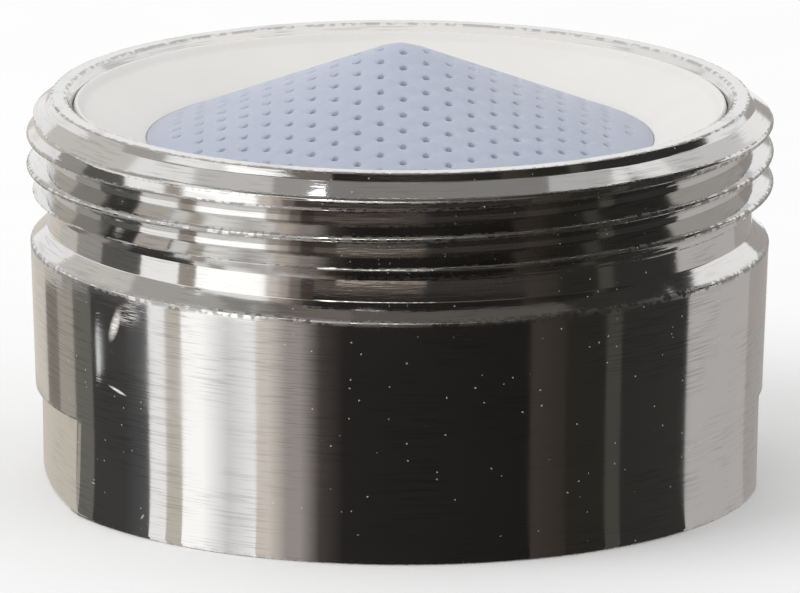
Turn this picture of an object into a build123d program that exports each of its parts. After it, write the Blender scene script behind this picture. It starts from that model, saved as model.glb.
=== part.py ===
from build123d import *
import math
import os

# Tap aerator with a male M24 x 1 thread, standing on its outlet end.
# Millimetres, +Z up towards the inlet, origin at the middle of the outlet face.
os.makedirs("parts", exist_ok=True)

# Housing, outside
thread_r = 11.975
thread_pitch = 1.0
thread_crest = thread_pitch / 8
thread_root = thread_pitch / 6
thread_flank_deg = 30.0
neck_depth = 0.675
neck_r = thread_r - neck_depth
neck_length = 0.75
body_below_thread = 0.125
body_taper = 0.27
body_top_r = thread_r - body_below_thread
body_bottom_r = body_top_r - body_taper
shoulder_z = 7.9
shoulder_break = 0.08
foot_break = 0.2
rim_top_z = 12.6
rim_bevel_w = 0.26
rim_bevel_h = 0.39
lead_w = 0.615
lead_h = 0.34
lead_r = thread_r - lead_w
lead_z = rim_top_z - rim_bevel_h
thread_top_z = lead_z - lead_h
rim_outer_r = lead_r - rim_bevel_w

# Housing, inside
rim_land = 0.35
mouth_bevel_w = 0.25
mouth_bevel_h = 0.3
mouth_r = rim_outer_r - rim_land - mouth_bevel_w
shelf_depth = 3.7
shelf_z = rim_top_z - shelf_depth
shelf_w = 0.8
outlet_r = mouth_r - shelf_w
lip_w = 0.25
lip_r = outlet_r - lip_w
lip_h = 0.8
lip_break = 0.2

# Spanner flats
flat_depth = 0.58
across_flats = 2 * (body_bottom_r - flat_depth)
flat_h = 3.2
flat_turn_deg = 10.5
flat_cut = 3.0

# Clearances
slip = 0.05
loose = 0.1

# Insert body
flange_h = 1.8
air_gap = 0.55
tube_r = lip_r - air_gap
tube_wall = 0.8
stack_r = tube_r - tube_wall
ledge_w = 0.5
chamber_r = stack_r - ledge_w
tube_bottom_z = 0.5
chamber_h = 2.7
stack_top_z = shelf_z - chamber_h
slot_count = 8
slot_w = 3.0
slot_h = 1.5
slot_below_flange = 0.2
rib_w = 0.9
rib_bottom_z = 1.6
rib_below_flange = 2.3
rib_top_z = shelf_z - rib_below_flange

# Jet plate
flange_wall = 0.45
plate_seat_r = mouth_r - loose - flange_wall
plate_rim_t = 0.6
plate_drop = 0.5
plate_drop_gap = 0.6
plate_drop_r = chamber_r - plate_drop_gap
jet_count = 18
jet_w = 0.9
jet_edge = 1.4
jet_circle_r = plate_drop_r - jet_edge
hub_r = 2.2
hub_h = 0.5

# Inlet sieve
sieve_flange_t = 0.6
sieve_flange_w = 1.75
sieve_base_r = plate_seat_r - slip - sieve_flange_w
sieve_skirt_h = 0.5
sieve_cone_h = 3.22
sieve_tip_round = 1.7
sieve_wall = 0.5
sieve_pitch = 1.28
sieve_border = 0.75
sieve_field_r = sieve_base_r - sieve_border
sieve_hole_w = 0.5

# Sealing washer
washer_gap = 0.1
washer_lip_h = 0.55
washer_below_mouth = 0.02
washer_break = 0.12

# Mixing grids, spacer rings and outlet grid
grid_t = 0.6
stack_part_r = stack_r - slip
grid_border = 1.65
grid_field_r = stack_part_r - grid_border
grid_pitch = 2.1
grid_bar = 0.6
lower_grid_turn_deg = 30.0
spacer_h = 1.1
spacer_wall = 0.6
outlet_border = 0.95
outlet_field_r = stack_part_r - outlet_border
outlet_pitch = 1.62
outlet_bar = 0.32

# Levels and slopes that follow from the sizes above
flange_top_z = shelf_z + flange_h
plate_top_z = flange_top_z - sieve_flange_t
plate_seat_z = plate_top_z - plate_rim_t
neck_bottom_z = shoulder_z + body_top_r - neck_r
neck_top_z = neck_bottom_z + neck_length
flank_slope = math.tan(math.radians(thread_flank_deg))
thread_bottom_z = neck_top_z + neck_depth * flank_slope
thread_mid_z = (thread_bottom_z + thread_top_z) / 2
groove_count = math.floor((thread_top_z - thread_bottom_z - thread_crest) / thread_pitch)
groove_mouth = thread_pitch - thread_crest
groove_r = thread_r - (groove_mouth - thread_root) / 2 / flank_slope
upper_grid_z = stack_top_z - grid_t
upper_spacer_z = upper_grid_z - spacer_h
lower_grid_z = upper_spacer_z - grid_t
lower_spacer_z = lower_grid_z - spacer_h
sieve_base_z = flange_top_z + sieve_skirt_h
sieve_peak_z = sieve_base_z + sieve_cone_h
sieve_slope = math.atan2(sieve_cone_h, sieve_base_r)
sieve_drop = sieve_wall / math.cos(sieve_slope)
sieve_bore_r = sieve_base_r - sieve_wall
sieve_bore_z = sieve_base_z - sieve_drop + sieve_wall * math.tan(sieve_slope)
tip_mid_z = sieve_peak_z - sieve_tip_round / math.cos(sieve_slope)
tip_edge_r = sieve_tip_round * math.sin(sieve_slope)
tip_edge_z = tip_mid_z + sieve_tip_round * math.cos(sieve_slope)
washer_in_r = sieve_base_r + washer_gap
washer_out_r = mouth_r - slip
washer_lip_z = flange_top_z + washer_lip_h
washer_edge_z = rim_top_z - mouth_bevel_h - washer_below_mouth


def hex_points(pitch, field_r, keep_centre):
    """Points of a hexagonal field inside a circle, its rows running along Y."""
    reach = math.ceil(2 * field_r / pitch)
    points = []
    for i in range(-reach, reach + 1):
        for j in range(-2 * reach, 2 * reach + 1):
            x = i * pitch * math.sqrt(3) / 2
            y = (j + i % 2 / 2) * pitch
            if math.hypot(x, y) <= field_r and (keep_centre or (i, j) != (0, 0)):
                points.append((x, y))
    return points


def ring_sector(x, y, width):
    """A small opening centred on (x, y), its sides along the radius and around the axis."""
    radius = math.hypot(x, y)
    turn = math.degrees(math.atan2(y, x))
    half_turn = math.degrees(width / 2 / radius)
    with BuildLine() as outline:
        inner = CenterArc((0, 0), radius - width / 2, turn - half_turn, 2 * half_turn)
        outer = CenterArc((0, 0), radius + width / 2, turn - half_turn, 2 * half_turn)
        Line(inner @ 0, outer @ 0)
        Line(inner @ 1, outer @ 1)
    make_face(outline.edges())


# Housing: turned brass, chromed, with two milled flats for a spanner.
# Ring grooves show the thread's pitch and section; its helix is left to the looks.
thread_outline = []
for groove in range(groove_count):
    groove_z = thread_mid_z + (groove - (groove_count - 1) / 2) * thread_pitch
    thread_outline += [
        (thread_r, groove_z - groove_mouth / 2),
        (groove_r, groove_z - thread_root / 2),
        (groove_r, groove_z + thread_root / 2),
        (thread_r, groove_z + groove_mouth / 2),
    ]
with BuildPart() as housing:
    with BuildSketch(Plane.XZ) as housing_section:
        with BuildLine():
            Polyline(
                (lip_r, 0),
                (body_bottom_r, 0),
                (body_top_r, shoulder_z),
                (neck_r, neck_bottom_z),
                (neck_r, neck_top_z),
                (thread_r, thread_bottom_z),
                *thread_outline,
                (thread_r, thread_top_z),
                (lead_r, lead_z),
                (rim_outer_r, rim_top_z),
                (rim_outer_r - rim_land, rim_top_z),
                (mouth_r, rim_top_z - mouth_bevel_h),
                (mouth_r, shelf_z),
                (outlet_r, shelf_z),
                (outlet_r, lip_h),
                (lip_r, lip_h),
                close=True,
            )
        make_face()
        chamfer(housing_section.vertices().sort_by_distance((body_bottom_r, 0))[0], foot_break)
        chamfer(housing_section.vertices().sort_by_distance((body_top_r, shoulder_z))[0], shoulder_break)
        chamfer(housing_section.vertices().sort_by_distance((lip_r, 0))[0], lip_break)
    revolve(axis=Axis.Z)
    with BuildSketch(Plane.XY):
        with PolarLocations(across_flats / 2 + flat_cut / 2, 2, start_angle=flat_turn_deg):
            Rectangle(flat_cut, 2 * thread_r)
    extrude(amount=flat_h, mode=Mode.SUBTRACT)
housing.part.label = "housing"
export_step(housing.part, "parts/housing.step")

# Insert body: moulded sleeve hung by its flange on the housing shelf, with ribs and air slots
with BuildPart() as insert_body:
    with BuildSketch(Plane.XZ):
        with BuildLine():
            Polyline(
                (stack_r, tube_bottom_z),
                (tube_r, tube_bottom_z),
                (tube_r, shelf_z),
                (mouth_r - loose, shelf_z),
                (mouth_r - loose, flange_top_z),
                (plate_seat_r, flange_top_z),
                (plate_seat_r, plate_seat_z),
                (chamber_r, plate_seat_z),
                (chamber_r, stack_top_z),
                (stack_r, stack_top_z),
                close=True,
            )
        make_face()
    revolve(axis=Axis.Z)
    with BuildSketch(Plane.XY.offset(rib_bottom_z)):
        with PolarLocations((chamber_r + outlet_r) / 2, slot_count, start_angle=180 / slot_count):
            Rectangle(outlet_r - chamber_r - 2 * loose, rib_w)
        Circle(stack_r + (tube_r - stack_r) / 2, mode=Mode.SUBTRACT)
    extrude(amount=rib_top_z - rib_bottom_z)
    with BuildSketch(Plane.XY.offset(shelf_z - slot_below_flange - slot_h)):
        with PolarLocations((chamber_r + tube_r) / 2, slot_count):
            Rectangle(2 * (tube_r - chamber_r), slot_w)
    extrude(amount=slot_h, mode=Mode.SUBTRACT)
insert_body.part.label = "insert_body"
export_step(insert_body.part, "parts/insert_body.step")

# Jet plate: moulded disc that breaks the flow into fine jets, seated in the top of the insert body
with BuildPart() as jet_plate:
    with BuildSketch(Plane.XZ):
        with BuildLine():
            Polyline(
                (0, plate_seat_z - plate_drop),
                (plate_drop_r, plate_seat_z - plate_drop),
                (plate_drop_r, plate_seat_z),
                (plate_seat_r - slip, plate_seat_z),
                (plate_seat_r - slip, plate_top_z),
                (hub_r, plate_top_z),
                (0, plate_top_z + hub_h),
                close=True,
            )
        make_face()
    revolve(axis=Axis.Z)
    with BuildSketch(Plane.XY.offset(plate_top_z)):
        for jet in range(jet_count):
            jet_turn = math.tau * jet / jet_count
            ring_sector(jet_circle_r * math.cos(jet_turn), jet_circle_r * math.sin(jet_turn), jet_w)
    extrude(amount=-2 * (plate_rim_t + plate_drop), mode=Mode.SUBTRACT)
jet_plate.part.label = "jet_plate"
export_step(jet_plate.part, "parts/jet_plate.step")

# Inlet sieve: blue moulded cone with a field of straight-drawn holes, its flange clamped under the washer
with BuildPart() as inlet_sieve:
    with BuildSketch(Plane.XZ):
        with BuildLine():
            Polyline(
                (sieve_bore_r, plate_top_z),
                (plate_seat_r - slip, plate_top_z),
                (plate_seat_r - slip, flange_top_z),
                (sieve_base_r, flange_top_z),
                (sieve_base_r, sieve_base_z),
                (0, sieve_peak_z),
                (0, sieve_peak_z - sieve_drop),
                (sieve_bore_r, sieve_bore_z),
                close=True,
            )
        make_face()
    revolve(axis=Axis.Z)
    with BuildSketch(Plane.XZ):
        with BuildLine():
            tip = ThreePointArc(
                (tip_edge_r, tip_edge_z),
                (
                    sieve_tip_round * math.sin(sieve_slope / 2),
                    tip_mid_z + sieve_tip_round * math.cos(sieve_slope / 2),
                ),
                (0, tip_mid_z + sieve_tip_round),
            )
            Polyline(tip @ 1, (0, sieve_peak_z), tip @ 0)
        make_face()
    revolve(axis=Axis.Z, mode=Mode.SUBTRACT)
    with BuildSketch(Plane.XY.offset(flange_top_z)):
        for x, y in hex_points(sieve_pitch, sieve_field_r, keep_centre=False):
            ring_sector(x, y, sieve_hole_w)
    extrude(amount=sieve_peak_z - flange_top_z, mode=Mode.SUBTRACT)
inlet_sieve.part.label = "inlet_sieve"
export_step(inlet_sieve.part, "parts/inlet_sieve.step")

# Sealing washer: soft white ring in the housing's mouth, dished towards the sieve
with BuildPart() as sealing_washer:
    with BuildSketch(Plane.XZ) as washer_section:
        with BuildLine():
            Polyline(
                (washer_in_r, washer_lip_z),
                (washer_in_r, flange_top_z),
                (washer_out_r, flange_top_z),
                (washer_out_r, washer_edge_z),
                close=True,
            )
        make_face()
        chamfer(washer_section.vertices().sort_by_distance((washer_out_r, washer_edge_z))[0], washer_break)
    revolve(axis=Axis.Z)
sealing_washer.part.label = "sealing_washer"
export_step(sealing_washer.part, "parts/sealing_washer.step")

# Upper mixing grid: moulded plate of hexagonal cells against the ledge in the insert body
with BuildPart() as mixing_grid_upper:
    with BuildSketch(Plane.XY.offset(upper_grid_z)):
        Circle(stack_part_r)
        with Locations(hex_points(grid_pitch, grid_field_r, keep_centre=True)):
            RegularPolygon((grid_pitch - grid_bar) / 2, 6, major_radius=False, mode=Mode.SUBTRACT)
    extrude(amount=grid_t)
mixing_grid_upper.part.label = "mixing_grid_upper"
export_step(mixing_grid_upper.part, "parts/mixing_grid_upper.step")

# Upper spacer ring: plain moulded ring that keeps the two mixing grids apart
with BuildPart() as spacer_ring_upper:
    with BuildSketch(Plane.XY.offset(upper_spacer_z)):
        Circle(stack_part_r)
        Circle(stack_part_r - spacer_wall, mode=Mode.SUBTRACT)
    extrude(amount=spacer_h)
spacer_ring_upper.part.label = "spacer_ring_upper"
export_step(spacer_ring_upper.part, "parts/spacer_ring_upper.step")

# Lower mixing grid: the same plate, turned so that its bars cross the cells above
with BuildPart() as mixing_grid_lower:
    with BuildSketch(Plane.XY.offset(lower_grid_z).rotated((0, 0, lower_grid_turn_deg))):
        Circle(stack_part_r)
        with Locations(hex_points(grid_pitch, grid_field_r, keep_centre=True)):
            RegularPolygon((grid_pitch - grid_bar) / 2, 6, major_radius=False, mode=Mode.SUBTRACT)
    extrude(amount=grid_t)
mixing_grid_lower.part.label = "mixing_grid_lower"
export_step(mixing_grid_lower.part, "parts/mixing_grid_lower.step")

# Lower spacer ring: stands on the outlet grid
with BuildPart() as spacer_ring_lower:
    with BuildSketch(Plane.XY.offset(lower_spacer_z)):
        Circle(stack_part_r)
        Circle(stack_part_r - spacer_wall, mode=Mode.SUBTRACT)
    extrude(amount=spacer_h)
spacer_ring_lower.part.label = "spacer_ring_lower"
export_step(spacer_ring_lower.part, "parts/spacer_ring_lower.step")

# Outlet grid: moulded honeycomb that straightens the stream, snapped into the foot of the insert body
with BuildPart() as outlet_grid:
    with BuildSketch(Plane.XY.offset(tube_bottom_z)):
        Circle(stack_part_r)
        with Locations(hex_points(outlet_pitch, outlet_field_r, keep_centre=True)):
            RegularPolygon((outlet_pitch - outlet_bar) / 2, 6, major_radius=False, mode=Mode.SUBTRACT)
    extrude(amount=lower_spacer_z - tube_bottom_z)
outlet_grid.part.label = "outlet_grid"
export_step(outlet_grid.part, "parts/outlet_grid.step")
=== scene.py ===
import math
import bmesh
import bpy
import numpy as np
from mathutils import Matrix, Vector
from mathutils.geometry import delaunay_2d_cdt


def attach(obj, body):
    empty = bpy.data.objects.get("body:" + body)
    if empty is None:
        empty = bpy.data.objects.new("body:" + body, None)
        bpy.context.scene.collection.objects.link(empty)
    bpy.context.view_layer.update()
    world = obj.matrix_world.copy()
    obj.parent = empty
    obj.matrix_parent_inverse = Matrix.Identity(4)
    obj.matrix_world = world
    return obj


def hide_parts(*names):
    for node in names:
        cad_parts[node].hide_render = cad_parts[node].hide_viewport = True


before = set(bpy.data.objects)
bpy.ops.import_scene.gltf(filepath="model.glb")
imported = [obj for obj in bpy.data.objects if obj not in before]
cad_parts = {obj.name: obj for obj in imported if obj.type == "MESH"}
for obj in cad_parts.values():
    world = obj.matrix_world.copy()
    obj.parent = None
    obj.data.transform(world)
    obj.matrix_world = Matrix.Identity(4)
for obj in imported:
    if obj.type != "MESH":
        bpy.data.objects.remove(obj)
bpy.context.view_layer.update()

# Housing: the body that screws into the tap, turned from brass bar and chrome plated. A right-hand thread
# of 1 mm pitch is cut above the groove, and two flats for a spanner are milled at the outlet end. The flats
# swell slightly in the middle, as if polished after the milling. Sizes are in mm and turns in degrees.
MM = 0.001
COLUMNS = 360
WELD_M, SLIVER_M = 1e-7, 1e-8
thread_r, thread_pitch, thread_depth, crest_round = 11.975, 1.0, 0.613, 0.1
flank_deg, front_deg, front_crest_z, first_turn, last_turn = 60, 270, 10.62, -3, 3
neck_r, neck_top_z, runout_top_z, runout_rows = 11.3, 9.15, 9.7, 31
helix_low_z, helix_top_z = 9.74, 11.78
lead_low_z, lead_top_z, lead_r, lead_rows = 11.88, 12.34, 11.36, 29
lead_ease = ((-0.08, 0), (-0.02, -0.013), (0.05, -0.067))
fade_low_z, fade_top_z = 11.75, 11.97
flat_distance, flat_bulge, flat_top_z, flat_turn, flat_half_turn = 11.04, 0.23, 3.2, 10.0, 18.5
turn_deg = np.arange(COLUMNS + 1) * 360.0 / COLUMNS
winding = (turn_deg - front_deg) / 360


def rounded(corners, steps=4):
    """Outline through corners of (radius, height, rounding), with an arc of that rounding at each."""
    outline = [corners[0][:2]]
    for before, corner, after in zip(corners, corners[1:], corners[2:]):
        here = Vector(corner[:2])
        back = (Vector(before[:2]) - here).normalized()
        ahead = (Vector(after[:2]) - here).normalized()
        half = back.angle(ahead) / 2
        if corner[2] == 0:
            outline.append(corner[:2])
            continue
        reach = corner[2] / math.tan(half)
        centre = here + (back + ahead).normalized() * (corner[2] / math.sin(half))
        start, end = here + back * reach - centre, here + ahead * reach - centre
        for step in range(steps + 1):
            share = step / steps
            spoke = (start * (1 - share) + end * share).normalized() * corner[2]
            outline.append(tuple(centre + spoke))
    outline.append(corners[-1][:2])
    return outline


def ring_surface(name, rows, sharp_deg=35, edge_bend_deg=5, level_climb=0.5):
    """Mesh object through rows of columns of (radius, height, turn), closed by welding its seams.

    Its attribute called edge is 1 along lines that run around it where it bends outward, and 0 elsewhere.
    """
    rows = np.array(rows)
    turn = np.radians(rows[..., 2])
    points = np.stack((rows[..., 0] * np.cos(turn), rows[..., 0] * np.sin(turn), rows[..., 1]), -1) * MM
    count, across = points.shape[:2]
    corner = np.arange(count * across).reshape(count, across)
    quads = np.stack((corner[:-1, :-1], corner[:-1, 1:], corner[1:, 1:], corner[1:, :-1]), -1).reshape(-1, 4)
    mesh = bpy.data.meshes.new(name)
    mesh.from_pydata(points.reshape(-1, 3).tolist(), [], quads.tolist())
    shell = bmesh.new()
    shell.from_mesh(mesh)
    bmesh.ops.remove_doubles(shell, verts=shell.verts, dist=WELD_M)
    bmesh.ops.dissolve_degenerate(shell, edges=shell.edges, dist=SLIVER_M)
    bmesh.ops.recalc_face_normals(shell, faces=shell.faces)
    on_edge = shell.verts.layers.float.new("edge")
    for line in shell.edges:
        climb = abs(line.verts[0].co.z - line.verts[1].co.z) / line.calc_length()
        if climb < level_climb and line.calc_face_angle_signed(0) > math.radians(edge_bend_deg):
            for vert in line.verts:
                vert[on_edge] = 1
    shell.to_mesh(mesh)
    shell.free()
    mesh.shade_smooth()
    mesh.set_sharp_from_angle(angle=math.radians(sharp_deg))
    made = bpy.data.objects.new(name, mesh)
    bpy.context.scene.collection.objects.link(made)
    return made


def plain_row(radius, height):
    """One full circle of the housing."""
    return np.stack((np.full(COLUMNS + 1, radius), np.full(COLUMNS + 1, height), turn_deg), -1)


def flat_row(radius, height, milled=True):
    """One circle, with both flats cut off it if milled, and columns at the corners of the flats."""
    if radius <= flat_distance:
        return plain_row(radius, height)
    edge = math.degrees(math.acos(flat_distance / radius))
    off = (turn_deg - flat_turn + 90) % 180 - 90
    far = 2 * flat_half_turn
    bent = np.interp(np.abs(off), (0, flat_half_turn, far, 90), (0, edge, far, 90)) * np.sign(off)
    swell = flat_bulge * (1 - (bent / edge) ** 2)
    worn = np.minimum(flat_distance / np.cos(np.radians(bent)) + swell, radius)
    cut = np.where(milled & (np.abs(off) <= flat_half_turn), worn, radius)
    return np.stack((cut, np.full(COLUMNS + 1, height), turn_deg + bent - off), -1)


lead_outline = ((neck_top_z, neck_r), (runout_top_z, thread_r),
                *((lead_low_z + up, thread_r + out) for up, out in lead_ease), (lead_top_z, lead_r))


def thread_row(height):
    """One row of the thread through the given height at each column."""
    pitches = (height - front_crest_z) / thread_pitch - winding
    off = np.abs((pitches + 0.5) % 1 - 0.5) * thread_pitch
    groove_z = front_crest_z + thread_pitch * (np.floor(pitches) + 0.5 + winding)
    crest = crest_round - np.sqrt(np.maximum(crest_round ** 2 - off ** 2, 0))
    flank = np.minimum(off * math.tan(math.radians(flank_deg)) - crest_round, thread_depth)
    depth = np.where(off < crest_round * math.sin(math.radians(flank_deg)), crest, flank)
    depth = depth * np.interp(groove_z, (fade_low_z, fade_top_z), (1, 0))
    limit = np.interp(height, *zip(*lead_outline))
    return np.stack((np.minimum(thread_r - depth, limit), height, turn_deg), -1)


# Outlines up the outside and down the bore, as corners of (radius, height, rounding)
foot = rounded([(9.45, 0.8, 0), (9.45, 0.2, 0.05), (9.65, 0.0, 0.05), (11.44, 0.0, 0), (11.51, 0.0, 0.05),
                (11.585, 0.12, 0.05), (11.5883, 0.2, 0), (11.686, 3.1, 0), (11.6894, flat_top_z, 0)])
above_flats = ((11.6894, flat_top_z), (11.6928, 3.3))
barrel = rounded([(11.8449, 7.75, 0), (11.85, 7.9, 0.1), (11.72, 8.03, 0), (neck_r, 8.45, 0.07),
                  (neck_r, neck_top_z, 0)])
rim = rounded([(lead_r, lead_top_z, 0), (11.345, 12.362, 0), (11.2253, 12.54, 0), (11.185, 12.6, 0.08),
               (11.1, 12.6, 0), (10.81, 12.6, 0), (10.72, 12.6, 0.1), (10.654, 12.51, 0), (10.588, 12.42, 0),
               (10.5, 12.3, 0.1), (10.5, 8.9, 0), (9.7, 8.9, 0), (9.7, 0.8, 0), (9.45, 0.8, 0)])
# Rows over half a tooth of the thread, as shares of the pitch, closest on the crest
tooth = np.array((0, 0.022, 0.044, 0.065, 0.0866, 0.14, 0.2, 0.26, 0.32, 0.38, 0.4116, 0.43, 0.47, 0.5))
climbs = [turn + share for turn in range(first_turn, last_turn + 1)
          for share in (*tooth, *(1 - tooth[-2:0:-1]))]
housing_rows = [flat_row(*point) for point in foot]
housing_rows += [flat_row(*point, milled=False) for point in above_flats]
housing_rows += [plain_row(*point) for point in barrel]
for z in np.linspace(neck_top_z, helix_low_z, runout_rows):
    housing_rows.append(thread_row(np.full(COLUMNS + 1, z)))
for climb in climbs:
    helix_z = front_crest_z + thread_pitch * (climb + winding)
    housing_rows.append(thread_row(np.clip(helix_z, helix_low_z, helix_top_z)))
for z in np.linspace(helix_top_z, lead_top_z, lead_rows):
    housing_rows.append(thread_row(np.full(COLUMNS + 1, z)))
housing_rows += [plain_row(*point) for point in rim]
housing = ring_surface("housing_chromed_brass", housing_rows)


def linear(hex_colour):
    """A colour written as sRGB hex, as the linear values that Blender's sockets take."""
    parts = [int(hex_colour[i:i + 2], 16) / 255 for i in (1, 3, 5)]
    return (*[c / 12.92 if c <= 0.04045 else ((c + 0.055) / 1.055) ** 2.4 for c in parts], 1.0)


def node(tree, kind, sockets=None, **settings):
    """Adds a node with its settings; each socket takes a value or another node's output."""
    made = tree.nodes.new(kind)
    for name, value in settings.items():
        setattr(made, name, value)
    for name, value in (sockets or {}).items():
        if isinstance(value, bpy.types.NodeSocket):
            tree.links.new(value, made.inputs[name])
        else:
            made.inputs[name].default_value = value
    return made


def new_material(name):
    """An empty node material, with its tree and its output node."""
    made = bpy.data.materials.new(name)
    made.use_nodes = True
    made.node_tree.nodes.clear()
    return made, made.node_tree, node(made.node_tree, "ShaderNodeOutputMaterial")


def place_on(tree):
    """Coordinates fixed to the piece."""
    return node(tree, "ShaderNodeTexCoord").outputs["Object"]


def noise(tree, size, detail):
    """Noise of one size in mm."""
    return node(tree, "ShaderNodeTexNoise", {"Vector": place_on(tree), "Scale": 1 / (size * MM),
                                             "Detail": detail}).outputs["Fac"]


def stretched_noise(tree, around, along, detail, roughness=0.5):
    """Noise of one size around the turned form and another along its axis, in mm."""
    scale = (1 / (around * MM), 1 / (around * MM), 1 / (along * MM))
    drawn = node(tree, "ShaderNodeVectorMath", {0: place_on(tree), 1: scale}, operation="MULTIPLY")
    return node(tree, "ShaderNodeTexNoise", {"Vector": drawn.outputs[0], "Scale": 1.0, "Detail": detail,
                                             "Roughness": roughness}).outputs["Fac"]


def ramp(tree, value, limits, start=0.0, end=1.0):
    """The value mapped from its limits to another range, and kept within it."""
    return node(tree, "ShaderNodeMapRange", {"Value": value, "From Min": limits[0], "From Max": limits[1],
                                             "To Min": start, "To Max": end}).outputs[0]


def maths(tree, operation, first, second):
    """One sum on two values."""
    return node(tree, "ShaderNodeMath", {0: first, 1: second}, operation=operation).outputs[0]


def mixed(tree, share, first, second):
    """The first colour, with a share of the second mixed in."""
    return node(tree, "ShaderNodeMix", {"Factor": share, "A": first, "B": second},
                data_type="RGBA").outputs["Result"]


# Chrome plate over turned brass: a mirror, with fine rings left by the turning tool that draw out each
# reflection sideways and streak it grey, specks of dust and a few scuffs. Along its outward edges painted
# shade darkens the plate between small spots, which are rougher, so that each mirrored edge line breaks into
# sparkles.
plate_tone, streak_tone, painted_edge_shade_tone, dust_tone = "#DBDAD8", "#C8C6C4", "#2E2B28", "#E6E3DC"
ring_spacing, ring_reach, ring_depth, ring_rough = 0.11, 1.4, 0.002, 0.6
streak_spacing, streak_reach, streak_range = 0.05, 1.6, (0.5, 0.62)
patch_size, patch_range = 2.5, (0.42, 0.6)
# Edge spots: their size in mm, the limits of their fade, the share of dark painted shade laid between them,
# and the added roughness
nick_and_shade_cell_size, nick_and_shade_range, painted_edge_shade_share, nick_rough = 0.25, (0.4, 0.58), 0.25, 0.4
smear_size, smear_range, smear_rough = 4, (0.35, 0.7), (0.06, 0.13)
speck_spacing, speck_range, speck_chance, speck_cover = 0.3, (0.12, 0.06), (0.68, 0.7), 0.4
barb_spacing, barb_reach, barb_range = 0.04, 0.6, (0.47, 0.56)
scuff_range = (1.0, 0.4)
# Each mark: middle in mm, half sizes in mm, lean in degrees, strength, share left between its barbs
scuffs = (((-9.0, -7.67, 6.83), (0.16, 0.9, 0.7), -16, 1.0, 0.6),
          ((-8.6, -8.1, 7.25), (0.55, 0.9, 0.42), 25, 0.6, 0.0),
          ((-8.93, -7.63, 4.68), (0.42, 0.6, 0.06), -18, 1.0, 0.7),
          ((-8.13, -8.42, 0.72), (0.04, 0.4, 0.14), -30, 0.7, 0.6),
          ((-9.72, -6.51, 1.35), (0.07, 0.4, 0.03), 0, 0.7, 0.6))
chrome, tree, output = new_material("chrome_plate_on_turned_brass")
place = place_on(tree)
rings = stretched_noise(tree, ring_reach, ring_spacing, detail=3.0, roughness=ring_rough)
turned = node(tree, "ShaderNodeBump", {"Height": rings, "Strength": 1.0, "Distance": ring_depth * MM})
streaks = maths(tree, "MULTIPLY",
                ramp(tree, stretched_noise(tree, streak_reach, streak_spacing, detail=2.0), streak_range),
                ramp(tree, noise(tree, patch_size, detail=2.0), patch_range))
streaked = mixed(tree, streaks, linear(plate_tone), linear(streak_tone))
# Painted shade: dark plate colour between small spots along the outward edges, which breaks each mirrored
# edge line into sparkles
nick_and_shade_cells = node(tree, "ShaderNodeTexVoronoi", {"Vector": place, "Scale": 1 / (nick_and_shade_cell_size * MM)})
on_edge = node(tree, "ShaderNodeAttribute", attribute_name="edge").outputs["Fac"]
nicks_and_painted_shade = maths(tree, "MULTIPLY", ramp(tree, nick_and_shade_cells.outputs["Distance"], nick_and_shade_range), on_edge)
plate = mixed(tree, maths(tree, "MULTIPLY", nicks_and_painted_shade, painted_edge_shade_share), streaked, linear(painted_edge_shade_tone))
smeared = ramp(tree, noise(tree, smear_size, detail=4.0), smear_range, *smear_rough)
rough = maths(tree, "ADD", smeared, maths(tree, "MULTIPLY", nicks_and_painted_shade, nick_rough))
metal = node(tree, "ShaderNodeBsdfPrincipled", {"Base Color": plate, "Metallic": 1.0, "Roughness": rough,
                                                "Normal": turned.outputs[0]})
grains = node(tree, "ShaderNodeTexVoronoi", {"Vector": place, "Scale": 1 / (speck_spacing * MM)})
chance = node(tree, "ShaderNodeSeparateColor", {"Color": grains.outputs["Color"]})
specks = maths(tree, "MULTIPLY", ramp(tree, grains.outputs["Distance"], speck_range),
               ramp(tree, chance.outputs[0], speck_chance))
dulled = maths(tree, "MULTIPLY", specks, speck_cover)
barbs = stretched_noise(tree, barb_reach, barb_spacing, detail=2.0)
for middle, half, lean, cover, fill in scuffs:
    offset = node(tree, "ShaderNodeVectorMath", {0: place, 1: [m * MM for m in middle]}, operation="SUBTRACT")
    upright = node(tree, "ShaderNodeVectorRotate", {"Vector": offset.outputs[0], "Axis": (0, 1, 0),
                                                    "Angle": math.radians(lean)})
    share = node(tree, "ShaderNodeVectorMath", {0: upright.outputs[0], 1: [1 / (h * MM) for h in half]},
                 operation="MULTIPLY")
    reach = node(tree, "ShaderNodeVectorMath", {0: share.outputs[0]}, operation="LENGTH").outputs["Value"]
    scuffed = maths(tree, "MULTIPLY", ramp(tree, reach, scuff_range, 0.0, cover),
                    ramp(tree, barbs, barb_range, fill, 1.0))
    dulled = maths(tree, "MAXIMUM", dulled, scuffed)
dust = node(tree, "ShaderNodeBsdfDiffuse", {"Color": linear(dust_tone)})
dusted = node(tree, "ShaderNodeMixShader", {"Fac": dulled, 1: metal.outputs[0], 2: dust.outputs[0]})
tree.links.new(dusted.outputs[0], output.inputs["Surface"])
housing.data.materials.append(chrome)
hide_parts("housing")
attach(housing, "root")

# Sealing washer: a soft ring of white silicone rubber pressed into the mouth of the housing. It seals
# against the spout and its top is dished down to the sieve.
skin_depth = 0.004
washer_outline = rounded([(9.3, 10.72, 0), (8.17, 10.72, 0.05), (8.152, 11.21, 0.03), (10.12, 12.17, 0.6),
                          (10.4, 12.46, 0.07), (10.48, 12.2, 0.05), (10.48, 10.72, 0.05), (9.3, 10.72, 0)],
                         steps=5)
washer = ring_surface("sealing_washer_silicone", [plain_row(*point) for point in washer_outline])


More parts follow.
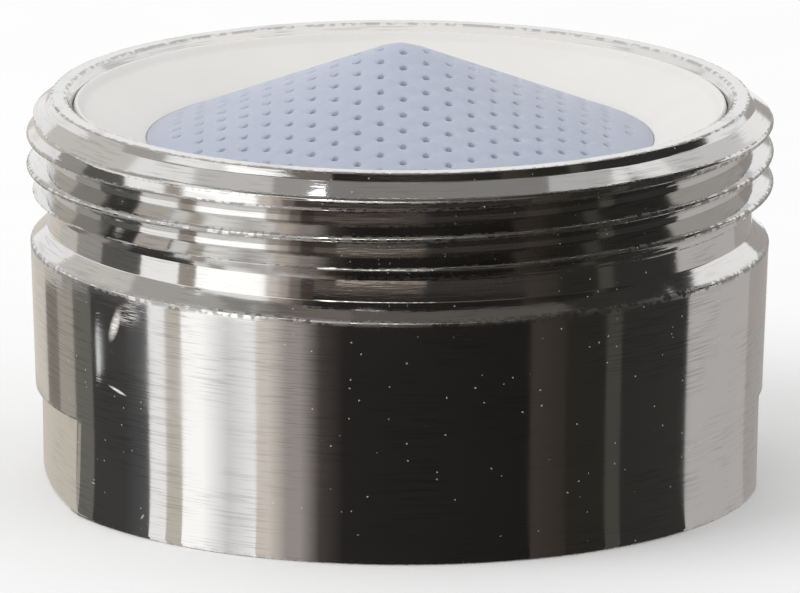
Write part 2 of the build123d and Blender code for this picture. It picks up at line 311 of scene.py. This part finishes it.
def moulded(name, tones, cloud_size, cloud_detail, skin_size, skin_detail, skin_strength, sockets):
    """A moulded material: clouded between two tones, with the fine skin that the mould leaves on it."""
    made, tree, output = new_material(name)
    clouded = mixed(tree, noise(tree, cloud_size, cloud_detail), linear(tones[0]), linear(tones[1]))
    skin = node(tree, "ShaderNodeBump", {"Height": noise(tree, skin_size, skin_detail),
                                         "Strength": skin_strength, "Distance": skin_depth * MM})
    body = node(tree, "ShaderNodeBsdfPrincipled", {"Base Color": clouded, "Normal": skin.outputs[0],
                                                   **sockets})
    tree.links.new(body.outputs[0], output.inputs["Surface"])
    return made


# White silicone rubber: milky, because light sinks a little way in, with a satin sheen
silicone = moulded("moulded_white_silicone_rubber", ("#E3E1DD", "#EBE9E6"), cloud_size=3, cloud_detail=5.0,
                   skin_size=0.12, skin_detail=2.0, skin_strength=0.4,
                   sockets={"Roughness": 0.42, "IOR": 1.41, "Subsurface Weight": 0.3,
                            "Subsurface Radius": (1.0, 0.95, 0.9), "Subsurface Scale": 0.6 * MM})
washer.data.materials.append(silicone)
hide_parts("sealing_washer")
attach(washer, "root")

# Inlet sieve: a cone moulded in pale blue plastic, full of fine holes drawn straight through along the
# axis. Its flange is clamped between the jet plate and the washer.
hole_pitch, hole_r, hole_edge, hole_sink, hole_sides = 0.83, 0.1, 0.12, 0.065, 16
field_r, field_count, field_shift_x, field_shift_y, apex_clear = 7.36, 12, 0.1, 0.23, 0.5
cone_foot_r, cone_foot_z, cone_h, tip_round, tip_ring_r, tip_columns = 8.15, 11.2, 3.22, 1.7, 0.15, 8
wall_drop, bore_r, rim_columns, sieve_sharp_deg = 0.537, 7.65, 120, 40
flange_r, flange_top_z, flange_low_z = 9.9, 10.68, 10.1
plan_inside, plan_close = 1, 1e-6
slope = math.atan2(cone_h, cone_foot_r)
hole_centres = []
for column in range(-field_count, field_count + 1):
    for row in range(-field_count, field_count + 1):
        across = column * hole_pitch * math.sqrt(3) / 2 + field_shift_x
        along = (row + column % 2 / 2) * hole_pitch + field_shift_y
        if apex_clear < math.hypot(across, along) < field_r:
            hole_centres.append((across, along))


def cone_z(x, y):
    """Height of the sieve's upper face, its tip rounded."""
    out = math.hypot(x, y)
    peak = cone_foot_z + cone_h
    if out > tip_round * math.sin(slope):
        return peak - out * math.tan(slope)
    return peak - tip_round / math.cos(slope) + math.sqrt(tip_round ** 2 - out ** 2)


def circle(x, y, radius, count):
    """Points of a circle around the given middle."""
    return [(x + radius * math.cos(math.tau * i / count), y + radius * math.sin(math.tau * i / count))
            for i in range(count)]


# The cone from above: a net of triangles between the tip, the rim and the holes
spots = [(0.0, 0.0), *circle(0, 0, tip_ring_r, tip_columns)]
loops = []
for ring in [circle(0, 0, bore_r, rim_columns),
             *(circle(x, y, hole_r + hole_edge, hole_sides) for x, y in hole_centres)]:
    loops.append(range(len(spots), len(spots) + len(ring)))
    spots += ring
hole_loops = loops[1:]
ties = [(loop[i - 1], loop[i]) for loop in loops for i in range(len(loop))]
plan = delaunay_2d_cdt([Vector(spot) for spot in spots], ties, [], plan_inside, plan_close)
shell = bmesh.new()
top = [shell.verts.new((p.x * MM, p.y * MM, cone_z(p.x, p.y) * MM)) for p in plan[0]]
under = [shell.verts.new((p.x * MM, p.y * MM, (cone_z(p.x, p.y) - wall_drop) * MM)) for p in plan[0]]
loop_of = {v: number for number, loop in enumerate(hole_loops) for v in loop}
for face in plan[2]:
    owners = {loop_of.get(v, -1) for v in face}
    if len(owners) == 1 and -1 not in owners:
        continue
    shell.faces.new([top[v] for v in face])
    shell.faces.new([under[v] for v in reversed(face)])
# The walls of the holes, sunk at both ends
for (x, y), loop in zip(hole_centres, hole_loops):
    levels = [[top[v] for v in loop]]
    for drop in (hole_sink, wall_drop - hole_sink):
        ring = []
        for v in loop:
            away = (Vector(spots[v]) - Vector((x, y))).normalized() * hole_r
            ring.append(shell.verts.new(((x + away.x) * MM, (y + away.y) * MM,
                                         (cone_z(*spots[v]) - drop) * MM)))
        levels.append(ring)
    levels.append([under[v] for v in loop])
    for upper, lower in zip(levels, levels[1:]):
        for i in range(hole_sides):
            shell.faces.new((upper[i - 1], upper[i], lower[i], lower[i - 1]))
# The foot of the cone and its flange
skirt = rounded([(bore_r, cone_z(bore_r, 0), 0), (cone_foot_r, cone_foot_z, 0.08),
                 (cone_foot_r, flange_top_z, 0.05), (flange_r, flange_top_z, 0.05),
                 (flange_r, flange_low_z, 0.05), (bore_r, flange_low_z, 0.05),
                 (bore_r, cone_z(bore_r, 0) - wall_drop, 0)])
levels = [[shell.verts.new((x * MM, y * MM, z * MM)) for x, y in circle(0, 0, r, rim_columns)]
          for r, z in skirt]
for inner, outer in zip(levels, levels[1:]):
    for i in range(rim_columns):
        shell.faces.new((inner[i - 1], outer[i - 1], outer[i], inner[i]))
bmesh.ops.remove_doubles(shell, verts=shell.verts, dist=WELD_M)
bmesh.ops.recalc_face_normals(shell, faces=shell.faces)
sieve_mesh = bpy.data.meshes.new("inlet_sieve_cone")
shell.to_mesh(sieve_mesh)
shell.free()
sieve_mesh.shade_smooth()
sieve_mesh.set_sharp_from_angle(angle=math.radians(sieve_sharp_deg))
sieve = bpy.data.objects.new("inlet_sieve_cone", sieve_mesh)
bpy.context.scene.collection.objects.link(sieve)
# Pale blue acetal: dull and soft to the eye, faintly clouded, because light passes into its thin wall
sieve_plastic = moulded("moulded_blue_acetal", ("#AEB5C7", "#B6BCCB"), cloud_size=2, cloud_detail=4.0,
                        skin_size=0.1, skin_detail=3.0, skin_strength=0.5,
                        sockets={"Roughness": 0.5, "IOR": 1.48, "Subsurface Weight": 0.8,
                                 "Subsurface Radius": (0.8, 0.9, 1.0), "Subsurface Scale": 1.0 * MM})
sieve.data.materials.append(sieve_plastic)
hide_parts("inlet_sieve")
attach(sieve, "root")

# Insert: the white sleeve with its jet plate, mixing grids, spacer rings and outlet honeycomb, all
# moulded in acetal and snapped together. Only the outlet end shows, from below.
# White acetal: plain and satin, faintly clouded
acetal = moulded("moulded_white_acetal", ("#DEDDD8", "#E8E7E3"), cloud_size=2.5, cloud_detail=4.0,
                 skin_size=0.1, skin_detail=3.0, skin_strength=0.4, sockets={"Roughness": 0.45, "IOR": 1.48})
for piece in ("insert_body", "jet_plate", "mixing_grid_upper", "spacer_ring_upper", "mixing_grid_lower",
              "spacer_ring_lower", "outlet_grid"):
    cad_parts[piece].data.materials.clear()
    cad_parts[piece].data.materials.append(acetal)

# Floor and world: a plain sweep of white paper in a white studio, which lights the object evenly from all
# sides. The studio lights a little less brightly than it shows, so that pale surfaces don't clip.
floor_half, fibre_size = 2, 5
sky_lights, sky_shows = 0.85, 1.0
floor_mesh = bpy.data.meshes.new("floor")
floor_mesh.from_pydata([(-floor_half, -floor_half, 0), (floor_half, -floor_half, 0),
                        (floor_half, floor_half, 0), (-floor_half, floor_half, 0)], [], [(0, 1, 2, 3)])
floor = bpy.data.objects.new("floor", floor_mesh)
bpy.context.scene.collection.objects.link(floor)
# White paper: matt and even, so that the soft shadow shows on it
paper, tree, output = new_material("white_paper")
white = mixed(tree, noise(tree, fibre_size, detail=3.0), linear("#FCFCFC"), linear("#FFFFFF"))
sheet = node(tree, "ShaderNodeBsdfDiffuse", {"Color": white})
tree.links.new(sheet.outputs[0], output.inputs["Surface"])
floor_mesh.materials.append(paper)
world = bpy.data.worlds.new("studio")
bpy.context.scene.world = world
world.use_nodes = True
tree = world.node_tree
tree.nodes.clear()
path = node(tree, "ShaderNodeLightPath").outputs
seen = maths(tree, "MAXIMUM", path["Is Camera Ray"], path["Is Glossy Ray"])
seen = maths(tree, "MAXIMUM", seen, path["Is Transmission Ray"])
sky = node(tree, "ShaderNodeBackground", {"Color": (1, 1, 1, 1),
                                          "Strength": ramp(tree, seen, (0, 1), sky_lights, sky_shows)})
node(tree, "ShaderNodeOutputWorld", {"Surface": sky.outputs[0]})

# Cards: panels set around the object out of the camera's sight, which give the chrome its dark and light
# bands. Each lies on the table along the line that one band of the barrel mirrors, then curves upward.
card_reach, card_columns, card_steps = 50.0, 8, 14
card_foot_r, card_lift, card_gap = 11.45, 0.03, 0.1
picture_middle, picture_radius = 400, 367
# Each card: name, columns of the picture between which the barrel mirrors it, colour, strength, where it
# starts and ends along its line (up to 50 in mm along the table, from 50 on in degrees of rise), and where
# they differ from the rest the colour that it fades to and the layer that it lies in
cards = (
    ("card_beige_far_left", 33, 48, "#D9D3C9", 1.0, 0, 60),
    ("card_dark_far_left", 48, 60, "#8A847C", 1.0, 0, 28),
    ("card_grey_left", 60, 76, "#ADA8A0", 1.0, 0, 28),
    ("card_mid_left", 76, 94, "#73716C", 1.0, 0, 28),
    ("card_black_left", 94, 126, "#454443", 1.0, 0, 28),
    ("card_black_fade_left", 126, 151, "#454443", 1.0, 0, 28, "#5E5E60"),
    ("card_glow_left", 98.5, 102.5, "#E9ECEC", 1.0, 17.3, 23.2, None, 1),
    ("card_glow_fade_left", 102.5, 107, "#B4B6B6", 1.0, 17.8, 22.7, "#4A4948", 1),
    ("card_pale_left", 151.5, 168, "#FFFFFF", 1.08, 0, 28),
    ("card_brown_left", 168, 184, "#D0CAC1", 1.0, 0, 28),
    ("card_white_left", 184, 204, "#FFFFFF", 1.33, 0, 28),
    ("card_white_fade_left", 204, 230, "#FFFFFF", 1.33, 0, 28, "#CBCBCC"),
    ("card_white_rise_left", 230, 258, "#CBCBCC", 1.33, 0, 28, "#ECECEE"),
    ("card_beige", 258, 271, "#E4DAD2", 1.0, 0, 36),
    ("card_beige_fade", 271, 288, "#E2D9D1", 1.0, 0, 36, "#AAA29D"),
    ("card_grey_front", 288, 301, "#A8A09C", 1.0, 0, 36),
    ("card_grey_fade_front", 301, 321, "#AAA3A0", 1.0, 0, 36, "#4E4845"),
    ("card_dark_fade_front", 321, 345, "#4E4845", 1.0, 0, 35.6, "#2B2928"),
    ("card_black_front", 345, 530, "#2B2928", 1.0, 0, 35.6, "#232120"),
    ("card_brown_right", 530, 565, "#453F3B", 1.0, 0, 116, "#383430"),
    ("card_dark_right", 565, 605, "#2F2D2A", 1.0, 0, 116),
    ("card_line_right", 605, 620, "#4E4C47", 1.0, 0, 116),
    ("card_dark_far_right", 620, 686, "#333230", 1.0, 0, 116, "#383735"),
    ("card_grey_right", 686, 747, "#C4C1C0", 1.0, 0, 70, "#C0BCBA"),
    ("card_edge_right", 747, 766, "#ADA8A5", 1.0, 0, 70),
    ("card_far_dim_left", 48, 66, "#CFCBC4", 1.0, 28, 60),
    ("card_far_grey_left", 66, 92, "#A3A19E", 1.0, 28, 62),
    ("card_far_black_left", 92, 133, "#646260", 1.0, 28, 62),
    ("card_far_pale_left", 133, 172, "#FFFFFF", 1.1, 28, 110),
    ("card_far_brown_left", 172, 190, "#A79F96", 1.0, 28, 90),
    ("card_far_white_left", 190, 262, "#FFFFFF", 1.45, 28, 110),
    ("card_far_beige", 262, 276, "#DAD2CA", 1.0, 36, 110),
    ("card_far_tan", 276, 286, "#B5ABA3", 1.0, 36, 110),
    ("card_far_dim_front", 286, 298, "#7A716B", 1.0, 36, 110),
    ("card_far_dark_front", 298, 312, "#4A4440", 1.0, 36, 110),
    ("card_neck_dark_left", 312, 335, "#3F3A37", 1.0, 35.6, 39.5),
    ("card_neck_glow", 335, 428, "#E2D5C9", 1.0, 35.6, 39.5, "#AEA297"),
    ("card_neck_dark", 428, 530, "#403D3B", 1.0, 35.6, 39.5),
    ("card_brown_floor", 312, 425, "#6C635C", 1.0, 39.5, 50, "#58514B"),
    ("card_dark_floor", 425, 530, "#3F3C3A", 1.0, 39.5, 50),
    ("card_low_front", 312, 530, "#2B2928", 1.0, 50, 72),
    ("card_window", 312, 330, "#FFFFFF", 2.6, 72, 98),
    ("card_window_fade", 330, 445, "#E6E4E0", 1.5, 72, 98, "#5E5A56"),
    ("card_window_edge", 445, 530, "#726E69", 1.0, 72, 98, "#5E5A56"),
    ("card_lamp_front", 310, 323, "#FFFFFF", 8.0, 98, 106, None, 1),
    ("card_high_front", 312, 530, "#2B2928", 1.0, 98, 114),
    ("card_dark_back_right", 686, 725, "#363533", 1.0, 70, 115),
    ("card_bevel_left", 80, 151, "#B4B2AE", 1.0, 85, 116),
    ("card_grey_top_left", 151, 200, "#8F8D8A", 1.0, 110, 150),
    ("card_brown_top_left", 200, 312, "#77706B", 1.0, 110, 150),
    ("card_shoulder_front", 312, 530, "#66615D", 1.0, 114, 135, "#625E5A"),
    ("card_shoulder_right", 530, 686, "#625E5A", 1.0, 116, 135, "#5A5755"),
)
# Small lights in the window, which bead the edges: column of the picture, half width in columns, strength
bead_low, bead_high = 78, 92
beads = ((342, 2.5, 5.0), (353, 1.6, 4.0), (361, 1.2, 4.0), (369, 1.4, 4.5), (377, 1.6, 4.5), (386, 1.8, 4.0),
         (396, 1.5, 4.0), (404, 1.2, 3.5), (417, 1.3, 3.0), (424, 1.0, 3.0), (434, 1.2, 3.0))
# Level panels overhead, which show in the bevels of the rim and shoulder: name, from and to across, from
# and to in depth, height in mm, colour, strength
panels = (
    ("panel_over_rim", (-5.5, 10), (-12.2, -7.2), 26, "#8E8C8B", 1.0),
    ("panel_over_rim_right", (10, 14.5), (-9, -3), 26, "#C4C4C4", 1.0),
    ("panel_back_right", (14.5, 27), (2, 30), 26, "#DADADA", 1.0),
    ("panel_over_rim_left", (-8.5, -5.5), (-12.2, -6), 26, "#A8A6A4", 1.0),
    ("panel_over_rim_far_left", (-14, -8.5), (-12.2, -3), 26, "#D4D2D0", 1.0),
    ("panel_back_left", (-40, -17.5), (2, 35), 26, "#D8D5D0", 1.0),
    ("panel_shoulder_left", (-45, -22), (-25, 0), 55, "#CCCAC7", 1.0),
    ("panel_over_far_rim", (-8, 8), (1.5, 9), 20, "#FFFDFB", 1.08),
)


def hang(name, points, faces, colour, strength, end_colour=None, shares=None):
    """A plain glowing sheet that only mirror rays see; it fades to the end colour by its points' shares."""
    mesh = bpy.data.meshes.new(name)
    mesh.from_pydata(points, [], faces)
    made = bpy.data.objects.new(name, mesh)
    bpy.context.scene.collection.objects.link(made)
    paint, tree, output = new_material(name)
    tone = linear(colour)
    if end_colour:
        mesh.attributes.new("share", "FLOAT", "POINT").data.foreach_set("value", shares)
        share = node(tree, "ShaderNodeAttribute", attribute_name="share").outputs["Fac"]
        tone = mixed(tree, share, tone, linear(end_colour))
    glow = node(tree, "ShaderNodeEmission", {"Color": tone, "Strength": strength})
    tree.links.new(glow.outputs[0], output.inputs["Surface"])
    mesh.materials.append(paint)
    made.visible_camera = made.visible_diffuse = made.visible_shadow = False
    made.visible_transmission = made.visible_volume_scatter = False


def mirror_line(column, height):
    """The barrel's edge at a column of the picture, and the level way that a view mirrored there takes."""
    angle = math.asin((column - picture_middle) / picture_radius)
    start = Vector((card_foot_r * math.sin(angle), -card_foot_r * math.cos(angle), height))
    return start, Vector((math.sin(2 * angle), -math.cos(2 * angle), 0))


def card(name, left, right, colour, strength, first, last, end_colour=None, layer=0):
    """A panel that the barrel mirrors between two columns of the picture, along part of its line."""
    reach = card_reach - card_gap * layer
    points, shares = [], []
    for column in range(card_columns + 1):
        share = column / card_columns
        start, out = mirror_line(left + (right - left) * share, card_lift * (1 + layer))
        for step in range(card_steps):
            way = first + (last - first) * step / (card_steps - 1)
            rise = math.radians(max(way - card_reach, 0))
            spoke = out * math.cos(rise) + Vector((0, 0, math.sin(rise)))
            points.append((start + spoke * min(way, reach)) * MM)
            shares.append(share)
    corner = np.arange(len(points)).reshape(-1, card_steps)
    faces = np.stack((corner[:-1, :-1], corner[1:, :-1], corner[1:, 1:], corner[:-1, 1:]), -1).reshape(-1, 4)
    hang(name, points, faces.tolist(), colour, strength, end_colour, shares)


for settings in cards:
    card(*settings)
for middle, half, strength in beads:
    card(f"bead_{middle}", middle - half, middle + half, "#FFFFFF", strength, bead_low, bead_high, None, 1)
for name, (left, right), (near, far), height, colour, strength in panels:
    corners = [(left, near, height), (right, near, height), (right, far, height), (left, far, height)]
    hang(name, [Vector(corner) * MM for corner in corners], [(0, 1, 2, 3)], colour, strength)
# A small round lamp below the panels, which makes the glint on the lead chamfer
disc_x, disc_y, disc_z = -5.6, -10.3, 25.9
disc_half_x, disc_half_y, disc_step, disc_strength = 0.65, 0.22, 15, 6.0
lamp_disc = [Vector((disc_x + disc_half_x * math.cos(a), disc_y + disc_half_y * math.sin(a), disc_z)) * MM
             for a in np.radians(np.arange(0, 360, disc_step))]
hang("disc_lamp", lamp_disc, [tuple(range(len(lamp_disc)))], "#FFFFFF", disc_strength)
# A pale sheet edge-on to what the barrel and neck mirror, so that only the thread's grooves mirror it
sheet_left, sheet_right, sheet_near, sheet_far, sheet_top_z, sheet_drop = 121, 153, 4.0, 13.0, 8.15, 0.2388
groove_sheet = []
for column in range(card_columns + 1):
    start, out = mirror_line(sheet_left + (sheet_right - sheet_left) * column / card_columns, sheet_top_z)
    falling = out - Vector((0, 0, sheet_drop))
    groove_sheet += [(start + falling * way) * MM for way in (sheet_near, sheet_far)]
hang("sheet_by_grooves", groove_sheet,
     [(2 * i, 2 * i + 1, 2 * i + 3, 2 * i + 2) for i in range(card_columns)], "#DDD7D0", 1.0)
# A beige sheet just over the cards, which the spanner flat mirrors: its height and corners in mm
flat_sheet_z = 0.09
flat_sheet = [(-9.9, -6.0), (-17.9, 5.2), (-15.9, 10.8), (-12.9, 15.4), (-11.4, 15.4), (-11.4, 0.5)]
hang("sheet_by_flat", [Vector((*corner, flat_sheet_z)) * MM for corner in flat_sheet],
     [tuple(range(len(flat_sheet)))], "#CFC7BC", 1.0)

# Lamp: one large soft light high on the left, which shades the washer and the sieve and lays the soft shadow
# on the floor. The chrome doesn't mirror it. Sizes are in metres.
lamp_place, lamp_aim = Vector((-0.5, -0.2, 0.5)), Vector((0, 0, 0.01))
lamp_data = bpy.data.lights.new("soft_light", "AREA")
lamp_data.shape = "RECTANGLE"
lamp_data.size, lamp_data.size_y = 0.5, 0.4
lamp_data.energy = 1.4
lamp = bpy.data.objects.new("soft_light", lamp_data)
lamp.location = lamp_place
lamp.rotation_euler = (lamp_aim - lamp_place).to_track_quat("-Z", "Y").to_euler()
lamp.visible_glossy = False
bpy.context.scene.collection.objects.link(lamp)

# Camera: a long lens half a metre away, a little above the rim and turned slightly about its own axis, as
# the photo's was. Its focal length is fitted in picture points.
camera_distance, camera_lift, camera_roll = 500.0, math.radians(13.43), math.radians(0.2)
focal_points, picture_width, sensor_mm = 15564, 800, 36.0
near_clip, far_clip = 0.01, 20.0
aim = Vector((0.014, 0.0, 5.956))
ahead = Vector((0, math.cos(camera_lift), -math.sin(camera_lift)))
side = Vector((1, 0, 0))
upward = side.cross(ahead)
rolled_side = side * math.cos(camera_roll) + upward * math.sin(camera_roll)
rolled_up = upward * math.cos(camera_roll) - side * math.sin(camera_roll)
camera_data = bpy.data.cameras.new("camera")
camera_data.sensor_width = sensor_mm
camera_data.lens = focal_points * sensor_mm / picture_width
camera_data.clip_start, camera_data.clip_end = near_clip, far_clip
camera = bpy.data.objects.new("camera", camera_data)
spot = (aim - ahead * camera_distance) * MM
camera.matrix_world = Matrix(((rolled_side.x, rolled_up.x, -ahead.x, spot.x),
                              (rolled_side.y, rolled_up.y, -ahead.y, spot.y),
                              (rolled_side.z, rolled_up.z, -ahead.z, spot.z), (0, 0, 0, 1)))
bpy.context.scene.collection.objects.link(camera)
bpy.context.scene.camera = camera
bpy.context.scene.view_settings.view_transform = "Standard"
